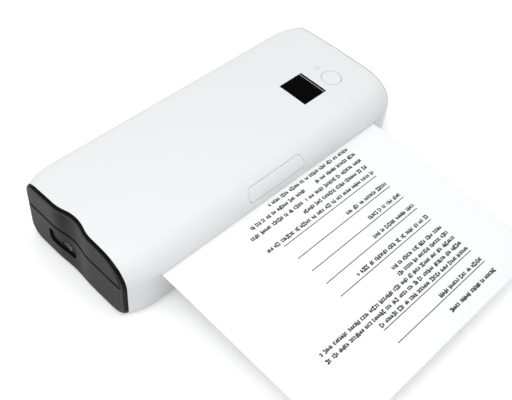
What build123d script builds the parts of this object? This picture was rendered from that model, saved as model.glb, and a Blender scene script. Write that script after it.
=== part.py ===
"""Portable A4 thermal printer: clamshell case with wavy end caps, platen drive and drop-in roll.

Frame: +X along the body, +Y to the hinge side, +Z up. The paper leaves towards -Y and the
USB socket is at -X. The origin is the middle of the base's underside. Millimetres.
"""
from build123d import *
from functools import lru_cache
from math import acos, asin, atan2, cos, degrees, hypot, pi, radians, sin, sqrt, tan
import os

# ---- clearances ------------------------------------------------------------------------------
GAP = 0.3                  # between pieces that move past each other
RUNNING = 0.05             # radial, shaft in bush
SEAT = 0.1                 # fixed piece in its pocket

# ---- paper -----------------------------------------------------------------------------------
PAPER_WIDTH = 210.0
PAPER_THICKNESS = 0.2
SHEET_LENGTH = 152.0       # paper outside the slot
SHEET_SLOPE = 3.6          # fall of the sheet, degrees
SHEET_BEND = 18.0          # length of the gentle bend after the slot
CURL_LENGTH = 16.0
CURL_ANGLE = 12.0

# ---- body ------------------------------------------------------------------------------------
DEPTH = 113.0              # front to back over the white shells
HEIGHT = 52.0              # underside to the crest of the cover
CROWN = 2.3                # how much the top rises from its long edges to its middle
CREST_RADIUS = ((DEPTH / 2) ** 2 + CROWN ** 2) / (2 * CROWN)
CORNER_RADIUS = 43.5       # plan radius of the four corners, which the caps cut short
FRONT_TOP_RADIUS = 20.0
BACK_TOP_RADIUS = 10.0
BOTTOM_RADIUS = 10.0
WALL = 2.0
FLOOR = WALL
FRONT = -DEPTH / 2
BACK = DEPTH / 2
PARTING_Z = HEIGHT * 0.6
PARTING_GAP = 0.4
SLOT_TOP = 0.6             # cover edge lifted above the paper
SLOT_BOTTOM = 0.5          # base wall lowered below the paper
WEB_BOTTOM = PARTING_Z - GAP
WEB_TOP = WEB_BOTTOM + PAPER_THICKNESS

# ---- stations along X, outwards from the paper's edge ----------------------------------------
PLATEN_HALF = PAPER_WIDTH / 2
BRACKET_X = PLATEN_HALF + 0.6          # inner face of the cover's end brackets
HEAD_HALF = PLATEN_HALF + 1.0
TRAY_HALF = PLATEN_HALF + 2.0
SLOT_HALF = PLATEN_HALF + 2.4
STRAIGHT_HALF = PLATEN_HALF + 3.2      # the long sides are straight to here, then the corners begin
SIDE_PLATE_X = PLATEN_HALF + 5.6       # inner face
JUNCTION_X = STRAIGHT_HALF + 20.6      # where the white shells end

# ---- end caps: the left one carries an S-wave that fades towards the underside ---------------
LEFT_RIM = 2.2             # black rim, measured outwards from the junction
RIGHT_RIM = 0.9
RIM_BORDER = 2.2           # rim round the face plates
RIM_BACK = 0.4             # rim left behind the face plates
RIM_CHAMFER = 1.0
LIP_PROUD = 0.4            # cover lip beyond the rim
PANEL_PROUD = 0.8          # base panel beyond the rim
PLATE_EDGE = 0.4           # softened front edge of the face plates
WAVE_Y = 1.8
WAVE_HALF_WIDTH = 20.0
WAVE_CREST = 3.3           # depth of the wave at the crest of the cover
WAVE_FOOT = 0.8            # and at the underside

# ---- USB socket and its pocket ---------------------------------------------------------------
USB_Y = BACK - 46.0
USB_Z = PARTING_Z - 13.4
USB_WIDTH = 9.0
USB_HEIGHT = 3.3
USB_LENGTH = 9.2
USB_SHELL = 0.35
USB_TONGUE = 0.7
POCKET_WIDTH = 26.0
POCKET_HEIGHT = 12.5
POCKET_Y = USB_Y + 3.0
POCKET_Z = USB_Z + 1.4
POCKET_DEPTH = 1.5
POCKET_RADIUS = 3.0

# ---- hinge -----------------------------------------------------------------------------------
HINGE_Y = BACK + 0.5       # axis behind the rear wall's outer face
BARREL_RADIUS = 3.2
HINGE_PIN_RADIUS = 1.25
HINGE_X = PLATEN_HALF - 30.0
COVER_KNUCKLE = 14.0
BASE_KNUCKLE = 8.0
GUSSET = 7.0

# ---- platen and print head -------------------------------------------------------------------
PLATEN_RADIUS = 5.0
PLATEN_SHAFT = 2.0
PLATEN_Y = FRONT + 14.5
PLATEN_Z = WEB_TOP + GAP + PLATEN_RADIUS
HEAD_FRONT = PLATEN_Y - 8.0
HEAD_BACK = PLATEN_Y + 9.0
HEAD_TOP = WEB_BOTTOM - GAP
HEAD_BLOCK = 5.1           # heat sink thickness
CERAMIC = 0.8
GLAZE = 0.2
HEAD_BLOCK_TOP = HEAD_TOP - GLAZE - CERAMIC
HEAD_ROD = 1.2
HEAD_ROD_Y = HEAD_BACK - 2.0
HEAD_ROD_Z = HEAD_BLOCK_TOP - HEAD_BLOCK / 2 - 0.4

# ---- sheet steel frame of the mechanism ------------------------------------------------------
PLATE = 1.2
FRAME_Z = FLOOR + 3.0
FRAME_FRONT = HEAD_FRONT - 0.5
FRAME_BACK = HEAD_BACK + 17.0
FRAME_EAR = FRAME_FRONT - 2.3          # side plates reach forward to the catch pins
FRONT_FLANGE = 9.0
BACK_FLANGE = 7.0
BUSH_RADIUS = 3.4
BUSH_LENGTH = 2.0
NOTCH_ARM = 5.2            # half width of the upright that holds the platen bush
CATCH_PIN_RADIUS = 1.2
CATCH_Y = FRAME_FRONT + 0.4
CATCH_Z = PARTING_Z - 3.9

# ---- drive -----------------------------------------------------------------------------------
MODULE = 0.6
BACKLASH = 0.12
PRESSURE_ANGLE = 20.0
ADDENDUM = 0.85            # tooth heights in modules
DEDENDUM = 1.2
PINION_TEETH = 14
WHEEL_TEETH = 36
SMALL_TEETH = 14
PLATEN_TEETH = 25
GEAR_WIDTH = 3.0
GEAR_START = 1.4           # first gear layer, outwards from the side plate
LAYER_STEP = 0.8
GEAR_PIN = 1.5
MOTOR_RADIUS = 9.8
MOTOR_LENGTH = 15.0
MOTOR_SHAFT = 1.0
MOTOR_EAR = 13.0
MOTOR_Y = PLATEN_Y + 15.5
MOTOR_Z = FRAME_Z + PLATE + 0.5 + MOTOR_RADIUS

# ---- release button and latch ----------------------------------------------------------------
EDGE_CENTRE_Y = FRONT + FRONT_TOP_RADIUS
EDGE_CENTRE_Z = HEIGHT - CREST_RADIUS + sqrt((CREST_RADIUS - FRONT_TOP_RADIUS) ** 2 - EDGE_CENTRE_Y ** 2)
RELEASE_X = 1.5
RELEASE_LOWER = 55.0
RELEASE_UPPER = 51.0
RELEASE_SPAN = 10.4
RELEASE_ANGLE = 33.8       # height of the button round the front edge
RELEASE_CORNER = 3.0
FLANGE_WALL = 0.5
FLANGE_REACH = 1.2
PAD_ANGLE = 25.7           # where the button's pad meets the latch tongue
PAD_WIDTH = 16.0
BRACKET = 1.6
BAR_RADIUS = 1.1
BAR_Y = PLATEN_Y - 1.5
BAR_Z = HEIGHT - 7.6
HOOK_WIDTH = 1.6
HOOK_THICKNESS = 2.0
TONGUE_LENGTH = 22.0
TONGUE_THICKNESS = 0.8
TONGUE_INSET = 5.0

# ---- display, power button and indicator -----------------------------------------------------
WINDOW_X = JUNCTION_X - 54.6
WINDOW_Y = FRONT + 47.7
WINDOW_WIDTH = 23.4
WINDOW_DEPTH = 25.8
WINDOW_THICKNESS = 1.2
WINDOW_LEDGE = 1.0
POWER_X = JUNCTION_X - 29.0
POWER_Y = FRONT + 41.9
POWER_RADIUS = 7.7
LIGHT_X = POWER_X + 0.1
LIGHT_Y = POWER_Y + 14.4
LIGHT_RADIUS = 1.8
COVER_BOARD_TOP = HEIGHT - 5.4
BOARD = 1.2
COVER_BOARD_X = (JUNCTION_X - 71.8, JUNCTION_X - 10.8)
COVER_BOARD_Y = (FRONT + 28.5, FRONT + 63.5)
SWITCH_SIZE = 6.0
SWITCH_BODY = 1.2
SWITCH_BUTTON = 0.4
LCD_THICKNESS = 3.8

# ---- inner tray and hubs ---------------------------------------------------------------------
TRAY = 1.6
TRAY_BOSS = 1.2
TRAY_LIP = 2.4
DECK_BACK_OF_HEAD = 1.5
DECK_TOP = WEB_BOTTOM - GAP
ROLL_Y = BACK - 29.0
ROLL_Z = PARTING_Z - 4.7
BAY_RADIUS = ROLL_Z - FLOOR - TRAY - 1.1
ROLL_RADIUS = BAY_RADIUS - 3.3
CORE_RADIUS = 8.0
CORE_BORE = 6.35
HUB_RADIUS = CORE_BORE - RUNNING
HUB_FLANGE = 9.0
HUB_FLANGE_THICKNESS = 1.6
HUB_NOSE = 4.3
HUB_STEM = 3.0
HUB_GUIDE_X = TRAY_HALF + 9.0
HUB_GUIDE = 2.0
HUB_CUP = 1.6
LIP_Z = DECK_TOP - TRAY_LIP
LIP_AWAY = sqrt((BAY_RADIUS + TRAY_LIP) ** 2 - (LIP_Z - ROLL_Z) ** 2)
LIP_Y = ROLL_Y - LIP_AWAY
FLANGE_END = BACK - 3.1    # tray flange along the rear wall

# ---- battery, boards, feet, screws -----------------------------------------------------------
CELL_RADIUS = 9.2
CELL_LENGTH = 65.0
CELL_SPACE = 2.0
CELL_TRAY = 1.2
CELL_START = 30.0 - PLATEN_HALF
CELL_END = CELL_START + 2 * CELL_LENGTH + CELL_SPACE
CELL_Y = FRAME_BACK + 11.0
CELL_Z = FLOOR + CELL_TRAY + GAP + CELL_RADIUS
MAIN_BOARD_X = (6.0 - JUNCTION_X, -2.6 - TRAY_HALF)
MAIN_BOARD_Y = (CELL_Y - 8.0, BACK - 6.5)
MAIN_BOARD_TOP = USB_Z - USB_HEIGHT / 2
FOOT_LENGTH = 30.0
FOOT_WIDTH = 9.0
FOOT_THICKNESS = 1.2
FOOT_X = PLATEN_HALF - 13.0
FOOT_Y = BACK - 20.5
SCREW_RADIUS = 0.9
SCREW_HEAD_RADIUS = 2.0
SCREW_HEAD = 1.2
BOSS_RADIUS = 2.4


# ---- helpers ---------------------------------------------------------------------------------
def block(x, y, z):
    """Box from three (low, high) pairs."""
    size = [high - low for low, high in (x, y, z)]
    middle = [(high + low) / 2 for low, high in (x, y, z)]
    return Pos(*middle) * Box(*size)


def rod(radius, x, y, z):
    """Cylinder along X from x[0] to x[1] at the given y and z."""
    return Pos((x[0] + x[1]) / 2, y, z) * Rot(0, 90, 0) * Cylinder(radius, x[1] - x[0])


def post(radius, x, y, z):
    """Upright cylinder from z[0] to z[1]."""
    return Pos(x, y, (z[0] + z[1]) / 2) * Cylinder(radius, z[1] - z[0])


def slab(sketch, x):
    """Extrude a sketch drawn in (Y, Z) from x[0] to x[1]."""
    return Pos(x[0], 0, 0) * extrude(Plane.YZ * sketch, amount=x[1] - x[0])


def polygon(*points):
    """Face from its corners."""
    return make_face(Polyline(*points, close=True))


def both_ends(solid):
    """The solid and its mirror image at the other end."""
    return solid + mirror(solid, about=Plane.YZ)


def above_parting(solid):
    """The cover's share of a solid."""
    return solid & block((-200, 200), (-200, 200), (PARTING_Z + PARTING_GAP / 2, 2 * HEIGHT))


def below_parting(solid):
    """The base's share of a solid."""
    return solid & block((-200, 200), (-200, 200), (-HEIGHT, PARTING_Z - PARTING_GAP / 2))


def top_z(y, inset=0):
    """Height of the crowned top over a point away from the rounded edges."""
    radius = CREST_RADIUS - inset
    return HEIGHT - inset - radius + sqrt(radius ** 2 - y ** 2)


# ---- body forms ------------------------------------------------------------------------------
@lru_cache
def rounded_block(inset, top_radius):
    """Rounded plan with a crowned top and one radius all round its upper edge."""
    radius = CORNER_RADIUS - inset
    plan = RectangleRounded(2 * (STRAIGHT_HALF + radius), DEPTH - 2 * inset, radius)
    form = Pos(0, 0, inset) * extrude(plan, amount=HEIGHT)
    form = fillet(form.edges().group_by(Axis.Z)[0], BOTTOM_RADIUS - inset)
    crest = Pos(0, HEIGHT - CREST_RADIUS) * Circle(CREST_RADIUS - inset)
    form = form & extrude(Plane.YZ * crest, amount=STRAIGHT_HALF + CORNER_RADIUS, both=True)
    rim = form.faces().sort_by(Axis.Z)[-1].outer_wire().edges()
    return fillet(rim, top_radius - inset)


@lru_cache
def body_form(inset):
    """Closed body set in all round: wide radius along the front, narrow one along the back."""
    far = 2 * JUNCTION_X
    front = rounded_block(inset, FRONT_TOP_RADIUS) & block((-far, far), (-DEPTH, 0), (-1, 2 * HEIGHT))
    back = rounded_block(inset, BACK_TOP_RADIUS) & block((-far, far), (0, DEPTH), (-1, 2 * HEIGHT))
    return front + back


def wave_depth(z):
    """Depth of the S-wave at a height."""
    return WAVE_FOOT + (WAVE_CREST - WAVE_FOOT) * z / HEIGHT


def wavy_outline(reach, z):
    """Plan of the left half at a height, with the wave in its end."""
    depth = wave_depth(z)
    shoulder = WAVE_Y - WAVE_HALF_WIDTH
    far_shoulder = WAVE_Y + WAVE_HALF_WIDTH
    quarter = WAVE_HALF_WIDTH / 2
    enter = TangentArc((-reach, shoulder), (depth / 2 - reach, shoulder + quarter), tangent=(0, 1))
    dip = TangentArc(enter @ 1, (depth / 2 - reach, far_shoulder - quarter), tangent=enter % 1)
    leave = TangentArc(dip @ 1, (-reach, far_shoulder), tangent=dip % 1)
    rest = Polyline((-reach, far_shoulder), (-reach, DEPTH), (0, DEPTH), (0, -DEPTH), (-reach, -DEPTH),
                    (-reach, shoulder))
    return Pos(0, 0, z) * make_face(enter + dip + leave + rest)


@lru_cache
def end_prism(reach):
    """Everything between the wavy left end and the plain right end, reach from the middle."""
    left = loft([wavy_outline(reach, -WALL), wavy_outline(reach, HEIGHT + WALL)], ruled=True)
    return left + block((0, reach), (-DEPTH, DEPTH), (-WALL, HEIGHT + WALL))


def shell_between(outer, inner):
    """Skin of the body between two insets."""
    return body_form(outer) - body_form(inner)


def end_slice(inset, near, far, side):
    """Body set in by inset, between two wavy faces at one end; side is -1 or 1."""
    beyond = block((0, 200 * side) if side > 0 else (-200, 0), (-DEPTH, DEPTH), (-HEIGHT, 2 * HEIGHT))
    return (body_form(inset) & (end_prism(far) - end_prism(near))) & beyond


def outline_edges(solid, side):
    """Edges round the outermost face of an end piece."""
    faces = [face for face in solid.faces() if face.normal_at().X * side > 0.9]
    edges = [edge for face in faces for edge in face.edges()]
    return [edge for edge in edges if edges.count(edge) == 1]


def wave_at(y, z):
    """How far the S-wave stands in at a place on the left end."""
    depth = wave_depth(z)
    quarter = WAVE_HALF_WIDTH / 2
    radius = (quarter ** 2 + (depth / 2) ** 2) / depth
    away = abs(y - WAVE_Y)
    if away <= quarter:
        return depth - radius + sqrt(radius ** 2 - away ** 2)
    if away <= WAVE_HALF_WIDTH:
        return radius - sqrt(radius ** 2 - (WAVE_HALF_WIDTH - away) ** 2)
    return 0.0


def link(p, q, width):
    """Flat bar with round ends between two points of (Y, Z)."""
    length = hypot(q[0] - p[0], q[1] - p[1])
    turn = degrees(atan2(q[1] - p[1], q[0] - p[0]))
    middle = Pos((p[0] + q[0]) / 2, (p[1] + q[1]) / 2) * Rot(0, 0, turn)
    return middle * SlotCenterToCenter(length, width)


# ---- hinge -----------------------------------------------------------------------------------
def cover_knuckle_span(side):
    """X range of the cover's knuckle on one side."""
    middle = side * HINGE_X
    return (middle - COVER_KNUCKLE / 2, middle + COVER_KNUCKLE / 2)


def base_knuckle_spans(side):
    """X ranges of the base's two knuckles, either side of the cover's."""
    low, high = cover_knuckle_span(side)
    return [(low - GAP - BASE_KNUCKLE, low - GAP), (high + GAP, high + GAP + BASE_KNUCKLE)]


def knuckle(span, upward):
    """Barrel with a gusset that runs up or down the rear wall."""
    sign = 1 if upward else -1
    root = DEPTH / 2 - WALL / 2
    gusset = polygon((HINGE_Y + BARREL_RADIUS * cos(radians(25)), PARTING_Z + sign * BARREL_RADIUS * sin(radians(25))),
                     (root, PARTING_Z + sign * (BARREL_RADIUS + GUSSET)), (root, PARTING_Z))
    barrel = Pos(HINGE_Y, PARTING_Z) * Circle(BARREL_RADIUS)
    bore = Pos(HINGE_Y, PARTING_Z) * Circle(HINGE_PIN_RADIUS + RUNNING)
    return slab(barrel + gusset - bore, span)


def barrel_room(span):
    """Clearance round a knuckle of the other half."""
    return rod(BARREL_RADIUS + GAP, (span[0] - GAP, span[1] + GAP), HINGE_Y, PARTING_Z)


def hinge_bore():
    """Bore of both sets of knuckles."""
    spans = base_knuckle_spans(1)
    return both_ends(rod(HINGE_PIN_RADIUS + RUNNING, (spans[0][0] - GAP, spans[1][1] + GAP), HINGE_Y, PARTING_Z))


def hinge_pins():
    """Two steel pins, one through each set of three knuckles."""
    pins = []
    for side in (-1, 1):
        spans = base_knuckle_spans(side)
        pins.append(rod(HINGE_PIN_RADIUS, (spans[0][0] - SEAT, spans[1][1] + SEAT), HINGE_Y, PARTING_Z))
    return pins


# ---- end caps --------------------------------------------------------------------------------
def rim_x(side):
    """Where the rim's outer face lies, from the middle."""
    return JUNCTION_X + (LEFT_RIM if side < 0 else RIGHT_RIM)


@lru_cache
def end_rim(side):
    """Black ring at one end: chamfered outer edge, seat for the face plates, open middle."""
    rim = end_slice(0.0, JUNCTION_X, rim_x(side), side)
    rim = chamfer(outline_edges(rim, side), min(RIM_CHAMFER, (rim_x(side) - JUNCTION_X) / 2))
    seat = end_slice(RIM_BORDER, JUNCTION_X + RIM_BACK, rim_x(side) + WAVE_CREST, side)
    window = end_slice(RIM_BORDER + WALL, JUNCTION_X - WALL, rim_x(side), side)
    return rim - seat - window


@lru_cache
def end_plate(side, proud):
    """Face plate over the whole end, before it is parted into lip and panel."""
    return end_slice(RIM_BORDER + SEAT, JUNCTION_X + RIM_BACK, rim_x(side) + proud, side)


def cover_lip(side):
    """Upper face plate, on the cover."""
    lip = above_parting(end_plate(side, LIP_PROUD))
    return fillet(outline_edges(lip, side), PLATE_EDGE)


def base_panel(side):
    """Lower face plate, on the base, prouder than the lip."""
    panel = below_parting(end_plate(side, PANEL_PROUD))
    return chamfer(outline_edges(panel, side), PLATE_EDGE)


def usb_room(clearance):
    """Prism that the socket passes through, running in from the left."""
    outline = RectangleRounded(USB_WIDTH + 2 * clearance, USB_HEIGHT + 2 * clearance,
                               USB_HEIGHT / 2 + clearance - 0.01)
    return slab(Pos(USB_Y, USB_Z) * outline, (-2 * JUNCTION_X, -JUNCTION_X + 3 * WALL))


def left_base_panel():
    """Panel with the rounded pocket, whose floor follows the wave, and the socket's mouth."""
    pocket = slab(Pos(POCKET_Y, POCKET_Z) * RectangleRounded(POCKET_WIDTH, POCKET_HEIGHT, POCKET_RADIUS),
                  (-2 * JUNCTION_X, 0))
    face = rim_x(-1) + PANEL_PROUD
    depth = end_slice(0.0, face - POCKET_DEPTH, face + WAVE_CREST, -1)
    return base_panel(-1) - (pocket & depth) - usb_room(SEAT)


def usb_socket():
    """Drawn metal shell with its tongue."""
    mouth = wave_at(USB_Y, USB_Z) - (rim_x(-1) + PANEL_PROUD - POCKET_DEPTH)
    outer = RectangleRounded(USB_WIDTH, USB_HEIGHT, USB_HEIGHT / 2 - 0.01)
    inner = RectangleRounded(USB_WIDTH - 2 * USB_SHELL, USB_HEIGHT - 2 * USB_SHELL,
                             USB_HEIGHT / 2 - USB_SHELL - 0.01)
    centre = Pos(USB_Y, USB_Z)
    shell = slab(centre * (outer - inner), (mouth, mouth + USB_LENGTH))
    back = slab(centre * outer, (mouth + USB_LENGTH - 2.0, mouth + USB_LENGTH))
    tongue = slab(centre * Rectangle(USB_WIDTH - 2.4, USB_TONGUE), (mouth + 1.0, mouth + USB_LENGTH))
    return shell + back + tongue


# ---- white shells ----------------------------------------------------------------------------
def white_skin():
    """Hollow white body with its two end walls, before it is parted."""
    outer = body_form(0.0) & end_prism(JUNCTION_X)
    cavity = body_form(WALL) & end_prism(JUNCTION_X - WALL)
    return outer - cavity


def release_prism(grow):
    """Rounded trapezium on the front edge of the cover, square to the slope there."""
    angle = radians(RELEASE_ANGLE)
    plane = Plane(origin=(RELEASE_X, EDGE_CENTRE_Y, EDGE_CENTRE_Z), x_dir=(1, 0, 0),
                  z_dir=(0, -cos(angle), sin(angle)))
    half = RELEASE_SPAN / 2
    outline = polygon((-RELEASE_LOWER / 2, -half), (RELEASE_LOWER / 2, -half), (RELEASE_UPPER / 2, half),
                      (-RELEASE_UPPER / 2, half))
    outline = fillet(outline.vertices(), RELEASE_CORNER)
    if grow:
        outline = offset(outline, grow)
    return Pos(0, 0, 0) * extrude(plane * outline, amount=FRONT_TOP_RADIUS + WALL)


def bracket_outline():
    """End bracket of the cover, down from the top and round the platen shaft."""
    return polygon((PLATEN_Y - 8, top_z(0)), (PLATEN_Y - 8, BAR_Z - 3), (PLATEN_Y - 4.6, PLATEN_Z - 2.2),
                   (PLATEN_Y - 1.8, PLATEN_Z - 4), (PLATEN_Y + 1.8, PLATEN_Z - 4),
                   (PLATEN_Y + 4.6, PLATEN_Z - 2.2), (PLATEN_Y + 9, BAR_Z - 3), (PLATEN_Y + 9, top_z(0)))


def cover_board_corners():
    """Screw places of the cover board."""
    margin = BOSS_RADIUS + 0.6
    xs = (COVER_BOARD_X[0] + margin, COVER_BOARD_X[1] - margin)
    ys = (COVER_BOARD_Y[0] + margin, COVER_BOARD_Y[1] - margin)
    return [(x, y) for x in xs for y in ys]


def window_prism(grow):
    """Upright prism over the display."""
    return Pos(WINDOW_X, WINDOW_Y, HEIGHT) * Box(WINDOW_WIDTH + 2 * grow, WINDOW_DEPTH + 2 * grow, HEIGHT / 2)


def top_cover():
    """White cover: skin, paper slot edge, openings, brackets, bosses and knuckles."""
    cover = above_parting(white_skin())
    cover -= block((-SLOT_HALF, SLOT_HALF), (-DEPTH, FRONT + 2 * WALL), (0, PARTING_Z + SLOT_TOP))
    fittings = []
    for start in (BRACKET_X, -BRACKET_X - BRACKET):
        fittings.append(slab(bracket_outline(), (start, start + BRACKET)))
    for x in (-PLATEN_HALF / 2, PLATEN_HALF / 2):
        hanger = link((BAR_Y, BAR_Z), (BAR_Y + 2, HEIGHT), 2 * (BAR_RADIUS + 1.2))
        fittings.append(slab(hanger, (x - BRACKET / 2, x + BRACKET / 2)))
    for x, y in cover_board_corners():
        fittings.append(post(BOSS_RADIUS, x, y, (COVER_BOARD_TOP, HEIGHT)))
    inside = body_form(WALL / 2)
    for piece in fittings:
        cover += piece & inside
    for x, y in cover_board_corners():
        cover -= post(SCREW_RADIUS + RUNNING, x, y, (COVER_BOARD_TOP - 1, HEIGHT - WALL - 0.4))
    cover -= rod(PLATEN_SHAFT + RUNNING, (-SIDE_PLATE_X, SIDE_PLATE_X), PLATEN_Y, PLATEN_Z)
    cover -= rod(BAR_RADIUS + RUNNING, (-SIDE_PLATE_X, SIDE_PLATE_X), BAR_Y, BAR_Z)
    cover -= release_prism(GAP)
    cover -= window_prism(SEAT) & shell_between(0.0, WINDOW_THICKNESS)
    cover -= window_prism(-WINDOW_LEDGE)
    cover -= post(POWER_RADIUS + GAP, POWER_X, POWER_Y, (HEIGHT - 2 * WALL, 2 * HEIGHT))
    cover -= post(LIGHT_RADIUS + SEAT, LIGHT_X, LIGHT_Y, (HEIGHT - 2 * WALL, 2 * HEIGHT))
    for side in (-1, 1):
        cover += knuckle(cover_knuckle_span(side), True)
        for span in base_knuckle_spans(side):
            cover -= barrel_room(span)
    return cover - hinge_bore()


def frame_screw_places():
    """Screws that hold the mechanism's frame."""
    reach = SIDE_PLATE_X - 25.6
    return [(x, y) for x in (-reach, reach) for y in (FRAME_FRONT + 6, FRAME_BACK - 6)]


def tray_screw_places():
    """Sunk screws through the tray's deck, either side of the battery."""
    return [(CELL_START - 21.0, CELL_Y), (CELL_END + 19.0, CELL_Y)]


def foot_places():
    """Centres of the four foot pads."""
    return [(x, y) for x in (-FOOT_X, FOOT_X) for y in (-FOOT_Y, FOOT_Y)]


def board_post_places():
    """Posts under the main board."""
    x = (MAIN_BOARD_X[0] + MAIN_BOARD_X[1]) / 2
    return [(x + 3, MAIN_BOARD_Y[0] + 4), (x + 3, MAIN_BOARD_Y[1] - 4)]


def base_case():
    """White base: skin, slot edge, foot wells, posts, socket opening and knuckles."""
    base = below_parting(white_skin())
    base -= block((-SLOT_HALF, SLOT_HALF), (-DEPTH, FRONT + 2 * WALL), (WEB_BOTTOM - SLOT_BOTTOM, HEIGHT))
    posts = [(x, y, BOSS_RADIUS, FRAME_Z) for x, y in frame_screw_places()]
    posts += [(x, y, BOSS_RADIUS, DECK_TOP - TRAY - TRAY_BOSS) for x, y in tray_screw_places()]
    posts += [(x, y, BOSS_RADIUS, MAIN_BOARD_TOP - BOARD) for x, y in board_post_places()]
    for x, y, radius, top in posts:
        base += post(radius, x, y, (FLOOR / 2, top))
    for x, y in frame_screw_places():
        base -= post(SCREW_RADIUS + RUNNING, x, y, (FLOOR - 0.8, FRAME_Z + 1))
    for x, y in tray_screw_places():
        base -= post(SCREW_RADIUS + RUNNING, x, y, (DECK_TOP - 10, DECK_TOP))
    for x in (27.0 - TRAY_HALF, -20.0, 20.0, TRAY_HALF - 27.0):
        rib = block((x - 1.2, x + 1.2), (LIP_Y + 2 * LIP_AWAY + 0.6, BACK), (DECK_TOP - 8, DECK_TOP - TRAY))
        base += rib & body_form(WALL / 2)
    base -= usb_room(GAP)
    for x, y in foot_places():
        well = Pos(x, y) * SlotOverall(FOOT_LENGTH, FOOT_WIDTH)
        base -= extrude(well, amount=FOOT_THICKNESS)
    for side in (-1, 1):
        for span in base_knuckle_spans(side):
            base += knuckle(span, False)
        base -= barrel_room(cover_knuckle_span(side))
    return base - hinge_bore()


def foot_pads():
    """Four rubber pads, flush with the underside."""
    return [extrude(Pos(x, y) * SlotOverall(FOOT_LENGTH - 2 * SEAT, FOOT_WIDTH - 2 * SEAT), amount=FOOT_THICKNESS)
            for x, y in foot_places()]


# ---- what shows in the cover -----------------------------------------------------------------
def display_window():
    """Black window, flush with the crowned top."""
    return shell_between(0.0, WINDOW_THICKNESS) & window_prism(0.0)


def display_module():
    """Display panel on the cover board, right under the window."""
    reach = WINDOW_LEDGE + SEAT
    return block((WINDOW_X - WINDOW_WIDTH / 2 + reach, WINDOW_X + WINDOW_WIDTH / 2 - reach),
                 (WINDOW_Y - WINDOW_DEPTH / 2 + reach, WINDOW_Y + WINDOW_DEPTH / 2 - reach),
                 (COVER_BOARD_TOP, COVER_BOARD_TOP + LCD_THICKNESS))


def power_button():
    """Round cap with a retaining flange and a stem over the switch."""
    high = 2 * HEIGHT
    cap = shell_between(0.0, WALL + GAP + FLANGE_WALL) & post(POWER_RADIUS, POWER_X, POWER_Y, (0, high))
    flange = shell_between(WALL + GAP, WALL + GAP + FLANGE_WALL) & post(POWER_RADIUS + FLANGE_REACH, POWER_X,
                                                                        POWER_Y, (0, high))
    floor = top_z(POWER_Y, WALL + GAP + FLANGE_WALL)
    tip = COVER_BOARD_TOP + SWITCH_BODY + SWITCH_BUTTON + GAP
    return above_parting(cap + flange) + post(SWITCH_BUTTON + 1.2, POWER_X, POWER_Y, (tip, floor + 0.2))


def light_pipe():
    """Clear indicator stem between the skin and the board."""
    stem = body_form(0.0) & post(LIGHT_RADIUS, LIGHT_X, LIGHT_Y, (COVER_BOARD_TOP + 0.8, HEIGHT))
    collar = body_form(WALL) & post(LIGHT_RADIUS + 0.8, LIGHT_X, LIGHT_Y, (HEIGHT - 2 * WALL, HEIGHT))
    return stem + collar


def cover_board():
    """Circuit board of the cover with its switch, indicator and cable socket."""
    board = block(COVER_BOARD_X, COVER_BOARD_Y, (COVER_BOARD_TOP - BOARD, COVER_BOARD_TOP))
    for x, y in cover_board_corners():
        board -= post(SCREW_RADIUS + RUNNING, x, y, (0, HEIGHT))
    top = COVER_BOARD_TOP
    board += Pos(POWER_X, POWER_Y, top + SWITCH_BODY / 2) * Box(SWITCH_SIZE, SWITCH_SIZE, SWITCH_BODY)
    board += post(1.6, POWER_X, POWER_Y, (top, top + SWITCH_BODY + SWITCH_BUTTON))
    board += block((LIGHT_X - 1.5, LIGHT_X + 1.5), (LIGHT_Y - 1, LIGHT_Y + 1), (top, top + 0.8))
    board += block((WINDOW_X + 14.5, WINDOW_X + 19.5), (WINDOW_Y - 8, WINDOW_Y + 8), (top, top + 1.4))
    return board


def board_cover():
    """Shallow tray under the cover board."""
    low = COVER_BOARD_TOP - BOARD - 3.0
    outer = block(COVER_BOARD_X, COVER_BOARD_Y, (low, COVER_BOARD_TOP - BOARD))
    outer = fillet(outer.edges().filter_by(Axis.Z), 2.0)
    inner = block((COVER_BOARD_X[0] + 1.2, COVER_BOARD_X[1] - 1.2), (COVER_BOARD_Y[0] + 1.2, COVER_BOARD_Y[1] - 1.2),
                  (low + 1.2, COVER_BOARD_TOP))
    tray = outer - inner
    for x, y in cover_board_corners():
        tray += post(BOSS_RADIUS, x, y, (low, COVER_BOARD_TOP - BOARD)) & outer
        tray -= post(SCREW_RADIUS + RUNNING, x, y, (0, HEIGHT))
    return tray


def screw(x, y, head_underside, length):
    """Pan-head screw pointing down, or up for a negative length."""
    sign = 1 if length > 0 else -1
    head = post(SCREW_HEAD_RADIUS, x, y, sorted((head_underside, head_underside + sign * SCREW_HEAD)))
    shank = post(SCREW_RADIUS, x, y, sorted((head_underside, head_underside - length)))
    return head + shank


def cover_screws():
    """Four screws up through the tray and the board."""
    underside = COVER_BOARD_TOP - BOARD - 3.0
    return [screw(x, y, underside, -7.0) for x, y in cover_board_corners()]


def base_screws():
    """Four screws in the frame and two in the tray's deck."""
    frame = [screw(x, y, FRAME_Z + PLATE, 4.6) for x, y in frame_screw_places()]
    return frame + [screw(x, y, DECK_TOP - SCREW_HEAD - 2 * SEAT, 8.0) for x, y in tray_screw_places()]


# ---- release button and latch ----------------------------------------------------------------
def pad_prism():
    """Prism through the pad of the release button, square to the slope at the tongue."""
    angle = radians(PAD_ANGLE)
    plane = Plane(origin=(RELEASE_X, EDGE_CENTRE_Y, EDGE_CENTRE_Z), x_dir=(1, 0, 0),
                  z_dir=(0, -cos(angle), sin(angle)))
    return extrude(plane * Rectangle(PAD_WIDTH, 2.0), amount=FRONT_TOP_RADIUS)


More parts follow.
